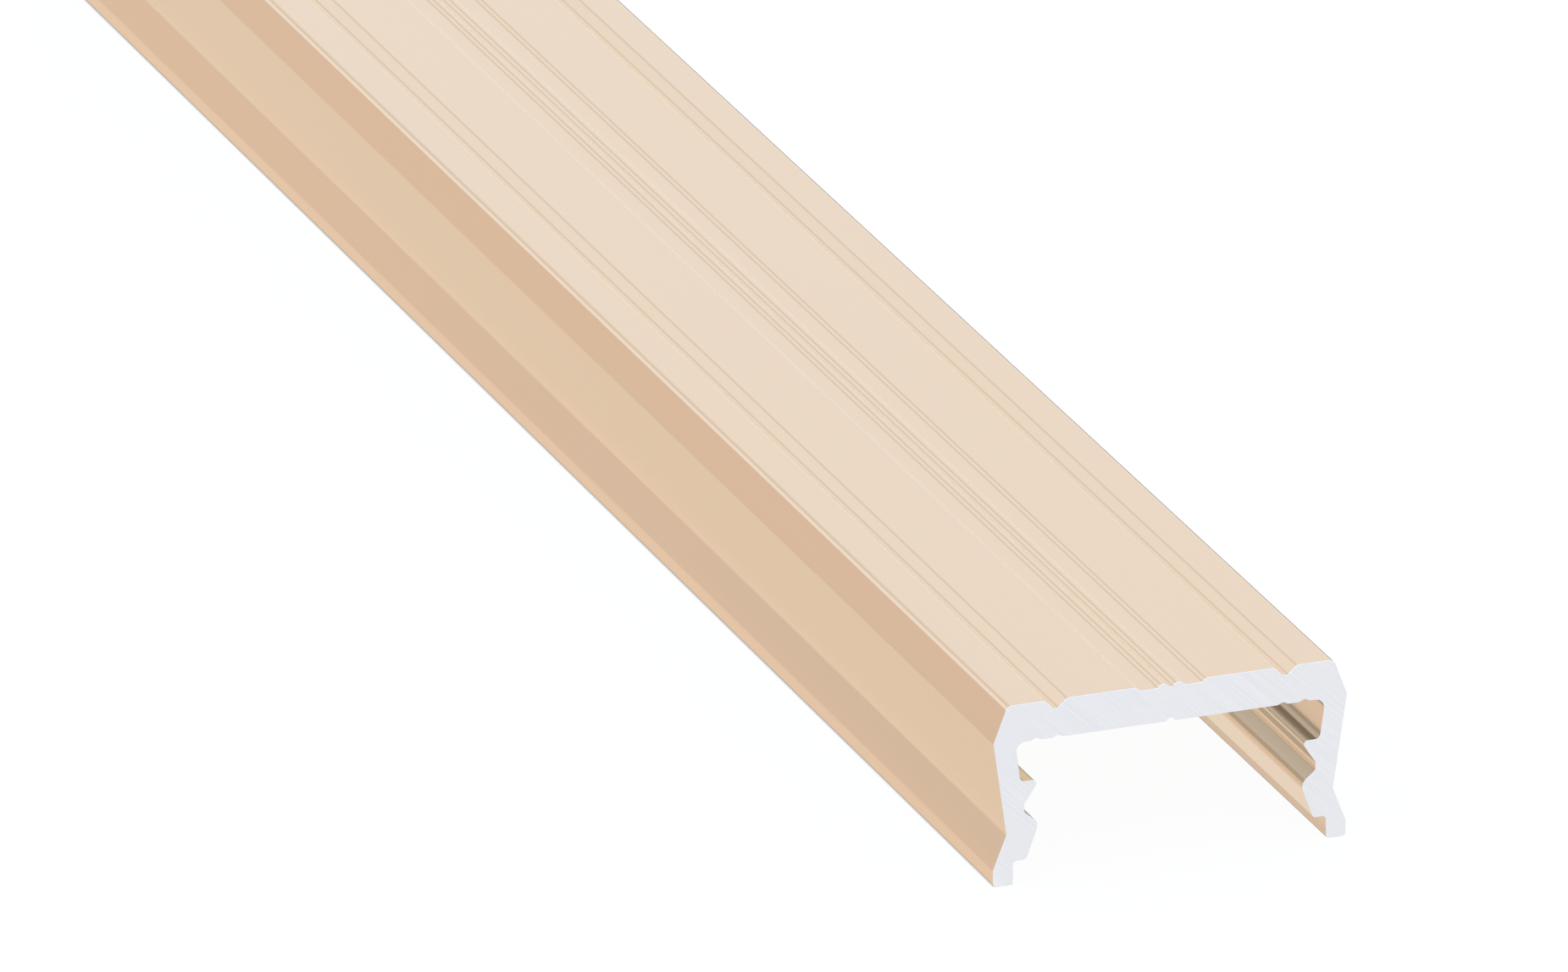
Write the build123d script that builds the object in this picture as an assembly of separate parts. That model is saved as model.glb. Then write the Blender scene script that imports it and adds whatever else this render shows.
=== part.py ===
from build123d import *

import math
import os
from typing import NamedTuple

# Aluminium extrusion profile: one straight length of channel stock, pressed through a die as one piece and
# sawn square at both ends. So it is one solid: a closed outline, mirrored about X = 0 and extruded.
# Millimetres. X runs across the section, Y along the bar and Z up. The bar lies with its open side down, on
# the flat ends of its two lips, and the origin is on that floor, at the middle of the length.
# Corners are placed as if sharp, and each is rounded to a radius of its own.

# The bar
bar_length = 1000.0
overall_width = 16.0

# Heights inside the channel, stacked from the floor to the back
step_height = 1.03  # floor to the step behind the lip
nose_height = 2.63  # floor to the nose of the lower rib
groove_rise = 0.56  # nose to the flat root of the groove between the ribs
groove_room = 0.36  # height of that flat root
upper_rib_rise = 1.04  # flat root to the top of the upper rib
channel_room = 1.79  # upper rib to the underside of the web
web_thickness = 1.72

# Outside of the wall, with depths measured inwards from the outermost face
lip_height = 0.73
waist_height = 2.25
waist_depth = 0.60
shoulder_drop = 1.65  # back to the widest corner below it
shoulder_inset = 0.62

# Inside of the wall, with depths measured inwards from the outermost face
lip_thickness = 0.90
step_width = 0.59
nose_depth = 2.07
groove_depth = 1.40
upper_rib_depth = 2.08
wall_thickness = 0.95

# Back: a V groove near each side, and a shallow centre recess with two fine ridges
back_groove_inset = 2.80  # outermost face to the middle of the V groove
back_groove_width = 1.04
back_groove_depth = 0.48
recess_width = 3.16
recess_depth = 0.165
ridge_spacing = 0.69  # middle of one ridge to the middle of the other
ridge_top_width = 0.21

# Underside of the web: a notch on the centre line, and two hairline grooves near each wall
notch_width = 0.50
notch_depth = 0.18
outer_hairline_inset = 1.92  # outermost face to the middle of the groove
inner_hairline_inset = 2.90
hairline_width = 0.46
hairline_depth = 0.12

# Radii
shoulder_radius = 0.31
facet_radius = 0.20
lip_radius = 0.15
step_radius = 0.18
foot_radius = 0.22
nose_radius = 0.45
lower_groove_radius = 0.15
upper_groove_radius = 0.10
upper_rib_radius = 0.18
rib_root_radius = 0.22
channel_radius = 0.40
back_groove_root_radius = 0.21
back_groove_edge_radius = 0.20
recess_radius = 0.19
ridge_radius = 0.19
notch_radius = 0.08
hairline_root_radius = 0.15
hairline_edge_radius = 0.05

# Lines that several corners share
outer_face = overall_width / 2
groove_height = nose_height + groove_rise
groove_top = groove_height + groove_room
upper_rib_top = groove_top + upper_rib_rise
underside = upper_rib_top + channel_room
back = underside + web_thickness
shoulder_height = back - shoulder_drop


class Corner(NamedTuple):
    """A sharp corner of the outline and the radius that rounds it."""

    x: float
    z: float
    radius: float


def back_corners():
    """The back, from its middle out to the right shoulder. Recess and ridges have 45 degree flanks."""
    recess_floor = back - recess_depth
    ridge_inner_edge = (ridge_spacing - ridge_top_width) / 2
    ridge_outer_edge = ridge_inner_edge + ridge_top_width
    recess_edge = recess_width / 2
    groove = outer_face - back_groove_inset
    groove_reach = back_groove_width / 2
    return [
        Corner(ridge_inner_edge - recess_depth, recess_floor, ridge_radius),
        Corner(ridge_inner_edge, back, ridge_radius),
        Corner(ridge_outer_edge, back, ridge_radius),
        Corner(ridge_outer_edge + recess_depth, recess_floor, ridge_radius),
        Corner(recess_edge - recess_depth, recess_floor, recess_radius),
        Corner(recess_edge, back, recess_radius),
        Corner(groove - groove_reach, back, back_groove_edge_radius),
        Corner(groove, back - back_groove_depth, back_groove_root_radius),
        Corner(groove + groove_reach, back, back_groove_edge_radius),
        Corner(outer_face - shoulder_inset, back, shoulder_radius),
    ]


def outer_corners():
    """The outside of the wall: from its widest corner down past the waist, and round the lip to the step."""
    lip_inner_face = outer_face - lip_thickness
    return [
        Corner(outer_face, shoulder_height, facet_radius),
        Corner(outer_face - waist_depth, waist_height, facet_radius),
        Corner(outer_face, lip_height, facet_radius),
        Corner(outer_face, 0, lip_radius),
        Corner(lip_inner_face, 0, lip_radius),
        Corner(lip_inner_face, step_height, step_radius),
    ]


def inner_wall(height):
    """The inner face's X at a height. It runs a wall's thickness inside the leaning outer face."""
    lean = waist_depth / (shoulder_height - waist_height)
    outside = outer_face - waist_depth + lean * (height - waist_height)
    return outside - wall_thickness * math.hypot(1, lean)


def inner_corners():
    """The inside of the wall, from the step up over both ribs to the corner under the web."""
    foot = outer_face - lip_thickness - step_width
    groove_root = outer_face - groove_depth
    return [
        Corner(foot, step_height, foot_radius),
        Corner(outer_face - nose_depth, nose_height, nose_radius),
        Corner(groove_root, groove_height, lower_groove_radius),
        Corner(groove_root, groove_top, upper_groove_radius),
        Corner(outer_face - upper_rib_depth, upper_rib_top, upper_rib_radius),
        Corner(inner_wall(upper_rib_top), upper_rib_top, rib_root_radius),
        Corner(inner_wall(underside), underside, channel_radius),
    ]


def underside_corners():
    """The underside of the web, from the right wall in to the notch at the middle."""
    corners = []
    reach = hairline_width / 2
    for inset in (outer_hairline_inset, inner_hairline_inset):
        groove = outer_face - inset
        corners += [
            Corner(groove + reach, underside, hairline_edge_radius),
            Corner(groove, underside + hairline_depth, hairline_root_radius),
            Corner(groove - reach, underside, hairline_edge_radius),
        ]
    corners += [
        Corner(notch_width / 2, underside, hairline_edge_radius),
        Corner(0, underside + notch_depth, notch_radius),
    ]
    return corners


def closed_outline():
    """The right half of the section, and its mirror image back to the start."""
    right = back_corners() + outer_corners() + inner_corners() + underside_corners()
    left = [Corner(-corner.x, corner.z, corner.radius) for corner in reversed(right) if corner.x > 0]
    return right + left


def fitted_radii(corners):
    """Each corner's radius, made smaller only where two roundings would overlap on the edge between them."""
    points = [Vector(corner.x, corner.z) for corner in corners]
    following = points[1:] + points[:1]
    edges = [after - before for before, after in zip(points, following)]
    turns = [math.radians(edges[i - 1].get_angle(edges[i])) for i in range(len(edges))]
    setbacks = [corner.radius * math.tan(turn / 2) for corner, turn in zip(corners, turns)]
    next_setbacks = setbacks[1:] + setbacks[:1]
    room_shares = [
        min(1, edge.length / (here + there))
        for edge, here, there in zip(edges, setbacks, next_setbacks)
    ]
    return [corner.radius * min(room_shares[i - 1], room_shares[i]) for i, corner in enumerate(corners)]


def channel_profile():
    """The section, stood upright and extruded both ways from the middle of the bar."""
    corners = closed_outline()
    points = [(corner.x, corner.z) for corner in corners]
    outline = FilletPolyline(*points, radius=fitted_radii(corners), close=True)
    section = Plane.XZ * make_face(outline)
    return extrude(section, amount=bar_length / 2, both=True)


profile = channel_profile()
os.makedirs("parts", exist_ok=True)
export_step(profile, "parts/channel_profile.step")
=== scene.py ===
import math

import bpy
from mathutils import Matrix, Vector


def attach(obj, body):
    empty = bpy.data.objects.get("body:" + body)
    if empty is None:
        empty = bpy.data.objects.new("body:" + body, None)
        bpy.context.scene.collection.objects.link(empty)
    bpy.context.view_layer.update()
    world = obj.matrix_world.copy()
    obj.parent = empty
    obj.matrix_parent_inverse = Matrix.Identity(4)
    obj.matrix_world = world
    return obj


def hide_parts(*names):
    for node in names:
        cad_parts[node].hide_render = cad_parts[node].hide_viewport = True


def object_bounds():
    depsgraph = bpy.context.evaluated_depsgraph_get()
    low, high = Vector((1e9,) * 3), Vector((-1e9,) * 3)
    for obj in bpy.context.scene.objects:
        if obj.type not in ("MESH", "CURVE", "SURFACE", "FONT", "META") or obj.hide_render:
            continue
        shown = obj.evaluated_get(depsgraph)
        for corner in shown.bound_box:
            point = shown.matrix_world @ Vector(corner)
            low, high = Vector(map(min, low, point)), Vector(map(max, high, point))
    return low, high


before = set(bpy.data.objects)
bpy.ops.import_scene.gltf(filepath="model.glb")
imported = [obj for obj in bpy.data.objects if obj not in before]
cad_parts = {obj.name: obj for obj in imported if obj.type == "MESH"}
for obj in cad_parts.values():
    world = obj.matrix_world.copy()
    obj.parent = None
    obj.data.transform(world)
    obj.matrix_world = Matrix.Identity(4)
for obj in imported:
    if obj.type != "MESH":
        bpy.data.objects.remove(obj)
cad_low, cad_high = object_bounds()


# The profile bar: one length of aluminium channel, pressed hot through a die, so that every face, groove and
# rib runs true from end to end. Its mesh is the solid's own, welded into clean strips, with the edges of both
# saw cuts broken as a deburring tool leaves them.
mm = 0.001
weld_gap = 0.0005 * mm
flat_turn = math.radians(0.5)
smooth_turn = math.radians(32)
edge_break = 0.012 * mm
end_facing = 0.99
broken_edge_facing = 0.5
bar_length = cad_high.y - cad_low.y

bar = bpy.data.objects.new("profile_bar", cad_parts["channel_profile"].data.copy())
bpy.context.scene.collection.objects.link(bar)
bpy.ops.object.select_all(action="DESELECT")
bar.select_set(True)
bpy.context.view_layer.objects.active = bar
bar.data.materials.clear()


def select_ends(facing):
    """Selects the faces that look along the bar by at least this much, and stays in edit mode."""
    bpy.ops.object.mode_set(mode="EDIT")
    bpy.ops.mesh.select_mode(type="FACE")
    bpy.ops.mesh.select_all(action="DESELECT")
    bpy.ops.object.mode_set(mode="OBJECT")
    for face in bar.data.polygons:
        face.select = abs(face.normal.y) > facing
    bpy.ops.object.mode_set(mode="EDIT")


bpy.ops.object.mode_set(mode="EDIT")
bpy.ops.mesh.select_all(action="SELECT")
bpy.ops.mesh.remove_doubles(threshold=weld_gap)
bpy.ops.mesh.dissolve_limited(angle_limit=flat_turn)
select_ends(end_facing)
bpy.ops.transform.resize(value=(1, 1 - 2 * edge_break / bar_length, 1), center_override=(0, 0, 0))
bpy.ops.mesh.inset(thickness=edge_break, depth=edge_break, use_even_offset=True)
bpy.ops.object.mode_set(mode="OBJECT")

# Anodised skin: champagne dye in a thin clear oxide over etched metal, satin all round, with the faint lines
# that the die draws along the bar. Where the bar is mirrored in itself, each place glows with a painted
# reflection: pale off the left side, cool off the underside of the web and dark painted shade off the foot of
# the right wall.
champagne = (0.693, 0.462, 0.310)
champagne_rim = (1.0, 1.0, 0.9, 1)
die_line_width = 0.05 * mm
die_line_length = 60 * mm
die_line_tint = 0.015
die_line_gloss = (0.15, 0.18)
die_line_height = 0.002 * mm
die_line_strength = 0.05
line_detail = 3.0
line_roughness = 0.6

# Painted reflections: the tones that the bar glows with in its own reflections, by height on the walls and by
# place across the web
pale_reflection = (0.96, 1.02, 0.95, 1)
outer_reflection = (0.92, 0.96, 0.88, 1)
dim_reflection = (0.54, 0.61, 0.61, 1)
nose_reflection = (0.51, 0.45, 0.36, 1)
rib_tip_reflection = (0.62, 0.70, 0.74, 1)
rib_top_reflection = (0.46, 0.50, 0.50, 1)
wall_foot_shade_reflection = (0.26, 0.265, 0.25, 1)
wall_reflection = (0.70, 0.765, 0.785, 1)
wall_head_shade_reflection = (0.35, 0.36, 0.36, 1)
web_light_reflection = (0.79, 0.93, 1.03, 1)
web_reflection = (0.715, 0.85, 0.93, 1)
web_side_reflection = (0.68, 0.81, 0.87, 1)
# The back's paler colour, shown only in reflections: a painted reflection
back_reflection = (0.92, 0.745, 0.66, 1)
no_tone = (0, 0, 0, 1)
left_reflections = ((2.50 * mm, pale_reflection), (2.80 * mm, dim_reflection))
right_reflections = (
    (3.40 * mm, nose_reflection),
    (4.40 * mm, rib_tip_reflection),
    (4.57 * mm, rib_top_reflection),
    (4.60 * mm, rib_top_reflection),
    (4.65 * mm, wall_foot_shade_reflection),
    (5.15 * mm, wall_foot_shade_reflection),
    (5.40 * mm, wall_reflection),
    (5.62 * mm, wall_reflection),
    (5.80 * mm, wall_head_shade_reflection),
)
web_reflections = (
    (-4.2 * mm, pale_reflection),
    (-4.0 * mm, dim_reflection),
    (0.5 * mm, dim_reflection),
    (3.3 * mm, web_light_reflection),
    (3.7 * mm, web_reflection),
    (4.05 * mm, web_side_reflection),
)
side_change = (-0.5 * mm, 0.5 * mm)
web_from = (6.30 * mm, 6.36 * mm)
outside_from = (7.12 * mm, 7.16 * mm)
below_back = (7.3 * mm, 7.2 * mm)


def feed(tree, socket, value):
    """Sets an input to a plain value, or links it to another node's output."""
    if isinstance(value, bpy.types.NodeSocket):
        tree.links.new(value, socket)
    else:
        socket.default_value = value


def fill(tree, made, **inputs):
    """Sets or links a node's inputs by name, with an underscore for each space."""
    for name, value in inputs.items():
        feed(tree, made.inputs[name.replace("_", " ")], value)
    return made


def node(tree, kind, **inputs):
    """A new node with its inputs set or linked."""
    return fill(tree, tree.nodes.new(kind), **inputs)


def reckon(tree, kind, operation, *values):
    """A new math or vector math node that works on the given values or outputs."""
    made = tree.nodes.new(kind)
    made.operation = operation
    for socket, value in zip(made.inputs, values):
        feed(tree, socket, value)
    return made


def number(tree, operation, *values):
    """The output of a new math node."""
    return reckon(tree, "ShaderNodeMath", operation, *values).outputs["Value"]


def vector(tree, operation, *values):
    """The output of a new vector math node."""
    return reckon(tree, "ShaderNodeVectorMath", operation, *values).outputs["Vector"]


def rise(tree, value, start, end, kind="LINEAR"):
    """A mask that is 0 before the start, 1 past the end and rises between them."""
    made = node(tree, "ShaderNodeMapRange", Value=value, From_Min=start, From_Max=end)
    made.interpolation_type = kind
    return made.outputs["Result"]


def blend(tree, mask, bare, covered):
    """One colour where the mask is 0 and another where it is 1."""
    made = tree.nodes.new("ShaderNodeMix")
    made.data_type = "RGBA"
    return fill(tree, made, Factor=mask, A=bare, B=covered).outputs["Result"]


def tone_ramp(tree, value, tones, low, high):
    """The tone at a value, from a run of levels and tones, on a ramp that reaches from low to high."""
    ramp = node(tree, "ShaderNodeValToRGB", Fac=rise(tree, value, low, high))
    stops = ramp.color_ramp.elements
    for stop, (level, tone) in zip(stops, (tones[0], tones[-1])):
        stop.position = (level - low) / (high - low)
        stop.color = tone
    for level, tone in tones[1:-1]:
        stops.new((level - low) / (high - low)).color = tone
    return ramp.outputs["Color"]


def tool_lines_group():
    """Fine parallel lines that a tool leaves in metal. They run along the Y of the place that comes in."""
    group = bpy.data.node_groups.new("Tool lines", "ShaderNodeTree")
    group.interface.new_socket("Place", in_out="INPUT", socket_type="NodeSocketVector")
    group.interface.new_socket("Line width", in_out="INPUT", socket_type="NodeSocketFloat")
    group.interface.new_socket("Line length", in_out="INPUT", socket_type="NodeSocketFloat")
    group.interface.new_socket("Lines", in_out="OUTPUT", socket_type="NodeSocketFloat")
    given = node(group, "NodeGroupInput").outputs
    width = given["Line width"]
    sizes = node(group, "ShaderNodeCombineXYZ", X=width, Y=given["Line length"], Z=width)
    stretched = vector(group, "DIVIDE", given["Place"], sizes.outputs["Vector"])
    noise = node(group, "ShaderNodeTexNoise", Vector=stretched, Scale=1.0)
    fill(group, noise, Detail=line_detail, Roughness=line_roughness)
    node(group, "NodeGroupOutput", Lines=noise.outputs["Fac"])
    return group


tool_lines = tool_lines_group()


def lines_on(tree, place, width, length):
    """A mask of tool lines of this width and length."""
    lines = node(tree, "ShaderNodeGroup")
    lines.node_tree = tool_lines
    return fill(tree, lines, Place=place, Line_width=width, Line_length=length).outputs["Lines"]


def shade(colour, share):
    """A colour made lighter or darker by a share of itself."""
    return tuple(channel * (1 + share) for channel in colour) + (1,)


def metal(name):
    """A new metal material, its node tree and its shader."""
    material = bpy.data.materials.new(name)
    material.use_nodes = True
    shader = material.node_tree.nodes["Principled BSDF"]
    shader.inputs["Metallic"].default_value = 1.0
    return material, material.node_tree, shader


def painted_reflection_of_bar(tree, across, height):
    """The painted reflection that the bar glows with at a place of its section."""
    left = tone_ramp(tree, height, left_reflections, cad_low.z, cad_high.z)
    right = tone_ramp(tree, height, right_reflections, cad_low.z, cad_high.z)
    walls = blend(tree, rise(tree, across, *side_change), left, right)
    web = tone_ramp(tree, across, web_reflections, web_reflections[0][0], web_reflections[-1][0])
    channel = blend(tree, rise(tree, height, *web_from), walls, web)
    outside = rise(tree, number(tree, "ABSOLUTE", across), *outside_from)
    return blend(tree, outside, channel, outer_reflection)


def anodised_skin():
    """Satin metal with die lines. Seen in a reflection, all but its back glows with a painted reflection, and
    its back shows a paler painted colour.
    """
    material, tree, shader = metal("champagne_anodising")
    place = node(tree, "ShaderNodeTexCoord").outputs["Object"]
    parts = node(tree, "ShaderNodeSeparateXYZ", Vector=place).outputs
    mirrored = node(tree, "ShaderNodeLightPath").outputs["Is Glossy Ray"]
    lines = lines_on(tree, place, die_line_width, die_line_length)
    tint = blend(tree, lines, shade(champagne, -die_line_tint), shade(champagne, die_line_tint))
    skin = blend(tree, mirrored, tint, back_reflection)
    own_light = number(tree, "MULTIPLY", mirrored, rise(tree, parts["Z"], *below_back))
    gloss = node(tree, "ShaderNodeMapRange", Value=lines, To_Min=die_line_gloss[0], To_Max=die_line_gloss[1])
    bump = node(tree, "ShaderNodeBump", Height=lines, Strength=die_line_strength, Distance=die_line_height)
    # Below the back, reflections of the bar glow with painted reflection tones instead of mirroring the skin
    fill(
        tree,
        shader,
        Base_Color=blend(tree, own_light, skin, no_tone),
        Metallic=number(tree, "SUBTRACT", 1.0, own_light),
        Roughness=gloss.outputs["Result"],
        Normal=bump.outputs["Normal"],
        Specular_IOR_Level=0.0,
        Specular_Tint=champagne_rim,
        Emission_Color=painted_reflection_of_bar(tree, parts["X"], parts["Z"]),
        Emission_Strength=own_light,
    )
    return material


bar.data.materials.append(anodised_skin())

# Saw cuts: the bar is cut to length after anodising, so both ends and their broken edges are bare aluminium,
# with the fine slanting lines that the blade leaves.
bare_aluminium = (0.83, 0.82, 0.825)
saw_gloss = 0.45
saw_slant = math.radians(43)
saw_line_width = 0.05 * mm
saw_line_length = 5 * mm
saw_line_tint = 0.11
saw_line_height = 0.003 * mm
saw_line_strength = 0.12


def sawn_metal():
    """Bare metal with lines that slant across the cut. The turn lays the lines' own Y along the slant."""
    material, tree, shader = metal("sawn_aluminium")
    place = node(tree, "ShaderNodeTexCoord").outputs["Object"]
    turn_to_slant = (-math.pi / 2, 0, math.pi / 2 + saw_slant)
    slanted = node(tree, "ShaderNodeMapping", Vector=place, Rotation=turn_to_slant).outputs["Vector"]
    lines = lines_on(tree, slanted, saw_line_width, saw_line_length)
    tint = blend(tree, lines, shade(bare_aluminium, -saw_line_tint), shade(bare_aluminium, saw_line_tint))
    bump = node(tree, "ShaderNodeBump", Height=lines, Strength=saw_line_strength, Distance=saw_line_height)
    fill(tree, shader, Base_Color=tint, Roughness=saw_gloss, Normal=bump.outputs["Normal"])
    return material


bar.data.materials.append(sawn_metal())
select_ends(broken_edge_facing)
bar.active_material_index = bar.material_slots.find("sawn_aluminium")
bpy.ops.object.material_slot_assign()
bpy.ops.object.mode_set(mode="OBJECT")
bpy.ops.object.shade_smooth_by_angle(angle=smooth_turn)
bpy.ops.object.modifier_add(type="WEIGHTED_NORMAL")
bar.modifiers["WeightedNormal"].keep_sharp = True
bpy.ops.object.modifier_apply(modifier="WeightedNormal")
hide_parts("channel_profile")
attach(bar, "root")

# Studio floor: a large white sheet that the bar lies on. The camera sees it white, with a faint soft shadow
# and a painted contact shadow as a dark hairline along the left lip. The metal sees painted light and shade
# on it: lit and shaded strips beside and under the bar, a pale patch off the front of the left lip, a dark
# strip off the right side, shade in the channel and no light under the lips.
floor_size = 40
floor_white = (0.9, 0.9, 0.9, 1)
paper_white = (1, 1, 1, 1)
shadow_share = 0.04
# Painted contact shadow: an occlusion mask darkens the paper's glow beside the lip, left of the middle only
contact_reach = 0.1 * mm
contact_samples = 8
painted_contact_shadow = (0.45, 0.42, 0.38, 1)
contact_side = (0, 1 * mm)
# Painted light and shade on the sheet that only the metal sees, by place across the bar
lip_light = (1.07, 1.05, 1.06, 1)
rib_light = (1.035, 1.04, 1.07, 1)
lip_shade = (0.90, 0.94, 0.99, 1)
wall_shade = (0.83, 0.91, 1.03, 1)
wall_light = (0.955, 0.995, 1.025, 1)
floor_tones = (
    (cad_low.x - 0.85 * mm, paper_white),
    (cad_low.x - 0.6 * mm, lip_light),
    (cad_low.x + 0.3 * mm, lip_light),
    (cad_low.x + 0.7 * mm, paper_white),
    (-3.0 * mm, paper_white),
    (-1.9 * mm, wall_light),
    (-1.5 * mm, wall_shade),
    (-0.9 * mm, paper_white),
    (2.5 * mm, paper_white),
    (3.3 * mm, rib_light),
    (6.5 * mm, rib_light),
    (6.65 * mm, lip_shade),
    (cad_high.x - 0.9 * mm, lip_shade),
    (cad_high.x - 0.8 * mm, paper_white),
)
# A painted pale patch that only the metal sees, off the front of the left lip
painted_pale_patch = (0.915, 0.975, 1.03, 1)
painted_pale_patch_side = (cad_low.x - 6 * mm, cad_low.x - 12 * mm)
painted_pale_patch_end = (cad_low.y + 125 * mm, cad_low.y + 55 * mm)

# Painted shade on the sheet that only the metal sees: where each place lies across and along the bar, and how
# soft its edge is
unlit = (0.10, 0.09, 0.08, 1)
under_left_lip = (cad_low.x + 0.035 * mm, cad_low.x + 0.865 * mm)
under_right_lip = (cad_high.x - 0.865 * mm, cad_high.x - 0.035 * mm)
between_cuts = (cad_low.y + 0.1 * mm, cad_high.y - 0.1 * mm)
lip_blur = 0.07 * mm
in_channel = (-2.3 * mm, -1.1 * mm)
in_channel_end = (cad_low.y + 6.5 * mm, cad_low.y + 13.5 * mm)
in_channel_blur = 0.3 * mm
# A painted dark strip that only the metal sees, off the right side of the bar
painted_dark_strip = (cad_high.x + 17 * mm, cad_high.x + 250 * mm)
painted_dark_strip_run = (cad_low.y + 10 * mm, cad_high.y - 10 * mm)
painted_dark_strip_blur = 3 * mm
painted_shade_places = (
    (under_left_lip, between_cuts, lip_blur),
    (under_right_lip, between_cuts, lip_blur),
    (in_channel, in_channel_end, in_channel_blur),
    (painted_dark_strip, painted_dark_strip_run, painted_dark_strip_blur),
)

bpy.ops.mesh.primitive_plane_add(size=floor_size, location=(0, 0, cad_low.z))
floor = bpy.context.object
floor.name = "studio_floor"


def place_mask(tree, place, across, along, blur):
    """A soft-edged rectangle of the floor, given by its ends across and along the bar."""
    middle = (sum(across) / 2, sum(along) / 2, 0)
    reach = ((across[1] - across[0]) / 2, (along[1] - along[0]) / 2, 0)
    from_middle = vector(tree, "ABSOLUTE", vector(tree, "SUBTRACT", place, middle))
    beyond = node(tree, "ShaderNodeSeparateXYZ", Vector=vector(tree, "SUBTRACT", from_middle, reach)).outputs
    return rise(tree, number(tree, "MAXIMUM", beyond["X"], beyond["Y"]), blur, 0.0)


def paper_to_the_eye(tree, across):
    """White paper with a painted contact shadow: the dark line where the left lip meets it."""
    air = node(tree, "ShaderNodeAmbientOcclusion", Distance=contact_reach)
    air.samples = contact_samples
    clear = number(tree, "MAXIMUM", air.outputs["AO"], rise(tree, across, *contact_side))
    return blend(tree, clear, painted_contact_shadow, paper_white)


def paper_to_the_metal(tree, place, across, along):
    """The painted lit and shaded strips, the painted pale patch and the painted shade that the metal mirrors.
    """
    tones = tone_ramp(tree, across, floor_tones, floor_tones[0][0], floor_tones[-1][0])
    by_side = rise(tree, across, *painted_pale_patch_side, "SMOOTHSTEP")
    by_end = rise(tree, along, *painted_pale_patch_end, "SMOOTHSTEP")
    paper = blend(tree, number(tree, "MULTIPLY", by_side, by_end), tones, painted_pale_patch)
    for side, run, blur in painted_shade_places:
        paper = blend(tree, place_mask(tree, place, side, run, blur), paper, unlit)
    return paper


def white_sheet():
    """Matt paper under a share of even white, so that it stays white and keeps a little shadow."""
    material = bpy.data.materials.new("white_sheet")
    material.use_nodes = True
    tree = material.node_tree
    matt = tree.nodes["Principled BSDF"]
    fill(tree, matt, Base_Color=floor_white, Roughness=1.0, Specular_IOR_Level=0.0)
    place = node(tree, "ShaderNodeTexCoord").outputs["Object"]
    parts = node(tree, "ShaderNodeSeparateXYZ", Vector=place).outputs
    seen_by = node(tree, "ShaderNodeLightPath").outputs
    to_the_eye = paper_to_the_eye(tree, parts["X"])
    to_the_metal = paper_to_the_metal(tree, place, parts["X"], parts["Y"])
    shown = blend(tree, seen_by["Is Glossy Ray"], to_the_eye, to_the_metal)
    even = node(tree, "ShaderNodeEmission", Color=shown, Strength=1.0)
    even_share = number(tree, "MULTIPLY", seen_by["Is Camera Ray"], 1 - shadow_share)
    for ray in ("Is Glossy Ray", "Is Transmission Ray"):
        even_share = number(tree, "MAXIMUM", even_share, seen_by[ray])
    mixed = node(tree, "ShaderNodeMixShader", Fac=even_share)
    feed(tree, mixed.inputs[1], matt.outputs["BSDF"])
    feed(tree, mixed.inputs[2], even.outputs["Emission"])
    fill(tree, tree.nodes["Material Output"], Surface=mixed.outputs["Shader"])
    return material


floor.data.materials.append(white_sheet())

# Studio light: a soft cool dome, a little stronger on the left, that fades to white paper at the horizon. A
# grey card hangs high up behind the bar and draws a thin line along each rounded edge.
left_light = (1.23, 1.505, 1.80, 1)
right_light = (1.13, 1.31, 1.55, 1)
side_reach = 0.5
horizon_light = (0.90, 0.93, 1.01, 1)
horizon_fade = math.radians(4)
high_card = (1.00, 1.15, 1.28, 1)
high_card_aim = Vector((-0.129, 0.867, 0.482)).normalized()
high_card_reach = math.radians(10.5)
high_card_blur = math.radians(4)


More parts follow.
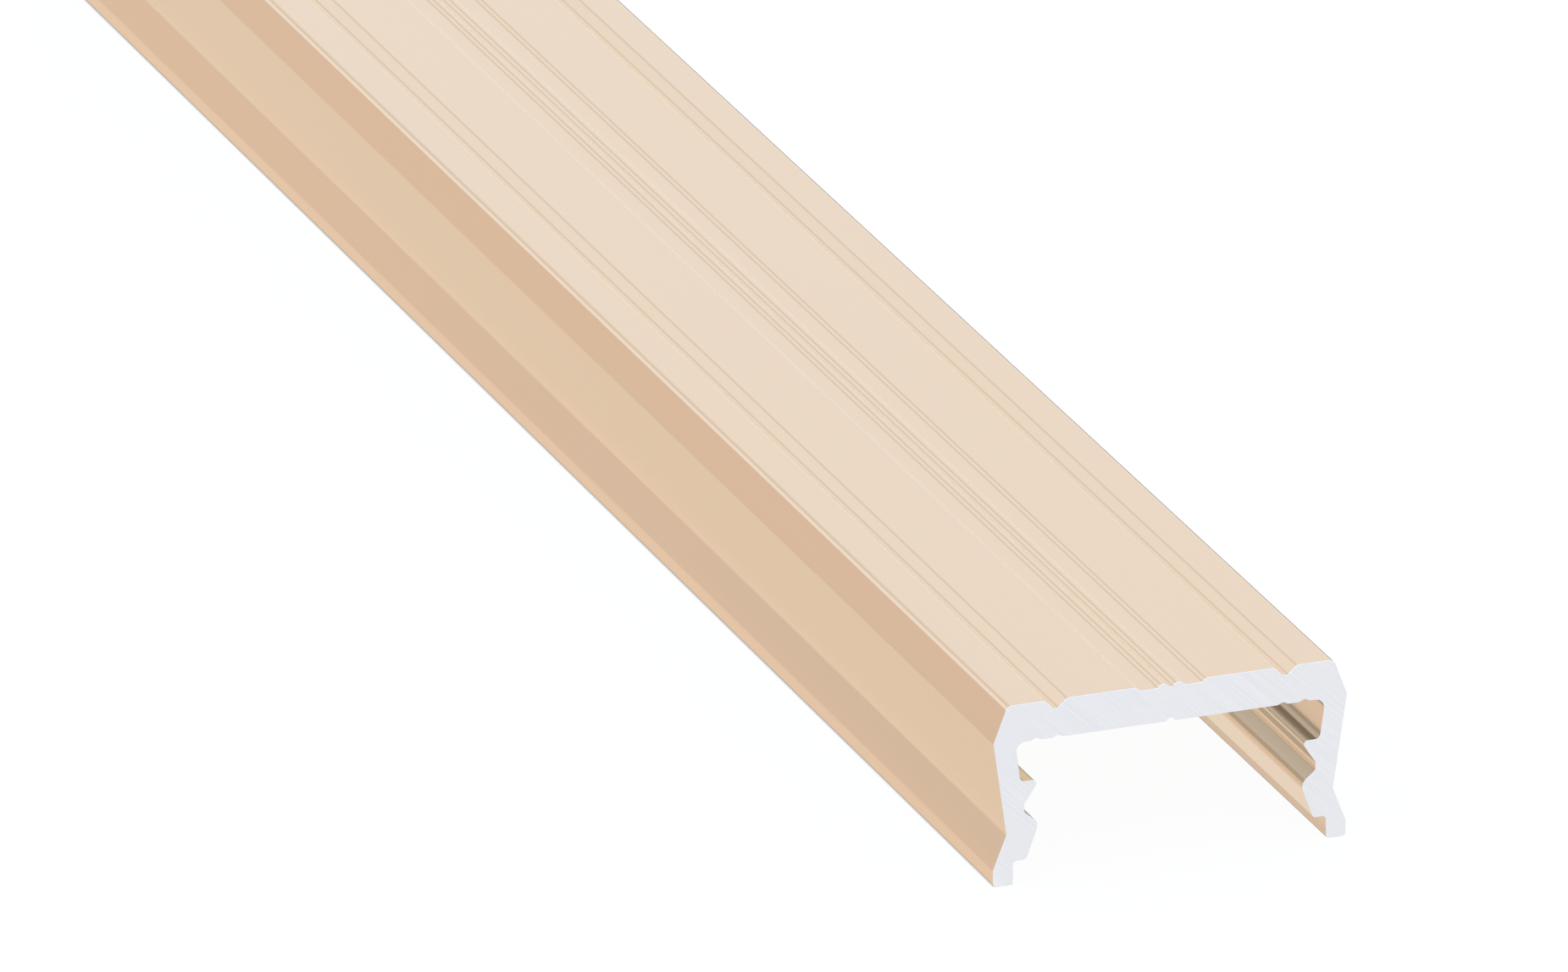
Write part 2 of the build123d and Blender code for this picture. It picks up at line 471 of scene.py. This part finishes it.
def studio_dome():
    """The dome by its direction: from side to side, up from the horizon, and the card over it."""
    world = bpy.data.worlds.new("studio_dome")
    world.use_nodes = True
    tree = world.node_tree
    way = node(tree, "ShaderNodeTexCoord").outputs["Generated"]
    parts = node(tree, "ShaderNodeSeparateXYZ", Vector=way).outputs
    sides = blend(tree, rise(tree, parts["X"], -side_reach, side_reach), left_light, right_light)
    up_from_horizon = rise(tree, parts["Z"], 0.0, math.sin(horizon_fade), "SMOOTHSTEP")
    dome = blend(tree, up_from_horizon, horizon_light, sides)
    towards = reckon(tree, "ShaderNodeVectorMath", "DOT_PRODUCT", way, high_card_aim).outputs["Value"]
    card_edge = (math.cos(high_card_reach + high_card_blur), math.cos(high_card_reach - high_card_blur))
    light = blend(tree, rise(tree, towards, *card_edge, "SMOOTHSTEP"), dome, high_card)
    fill(tree, tree.nodes["Background"], Color=light)
    return world


bpy.context.scene.world = studio_dome()

# Camera: a long lens, above and to the left of the front saw cut. It is aimed at the left shoulder, a little
# way along the bar, and its lens is worked out from the focal length in pixels of the picture.
image_width = 1851
focal_pixels = 29330.6
sensor_width = 36
turn = math.radians(21.0466)
tilt = math.radians(21.5266)
roll = math.radians(0.0840)
aim_distance = 1064.7564 * mm
aim = Vector((-7.1197 * mm, cad_low.y + 26.8119 * mm, cad_high.z))
level_right = Vector((math.cos(turn), -math.sin(turn), 0))
ahead = Vector((math.sin(turn) * math.cos(tilt), math.cos(turn) * math.cos(tilt), -math.sin(tilt)))
level_up = level_right.cross(ahead)
right = level_right * math.cos(roll) + level_up * math.sin(roll)
up = level_up * math.cos(roll) - level_right * math.sin(roll)
camera_data = bpy.data.cameras.new("photo_camera")
camera_data.sensor_width = sensor_width
camera_data.lens = focal_pixels / image_width * sensor_width
camera = bpy.data.objects.new("photo_camera", camera_data)
bpy.context.scene.collection.objects.link(camera)
turned = Matrix((right, up, -ahead)).transposed().to_4x4()
camera.matrix_world = Matrix.Translation(aim - ahead * aim_distance) @ turned
bpy.context.scene.camera = camera
bpy.context.scene.view_settings.view_transform = "Standard"
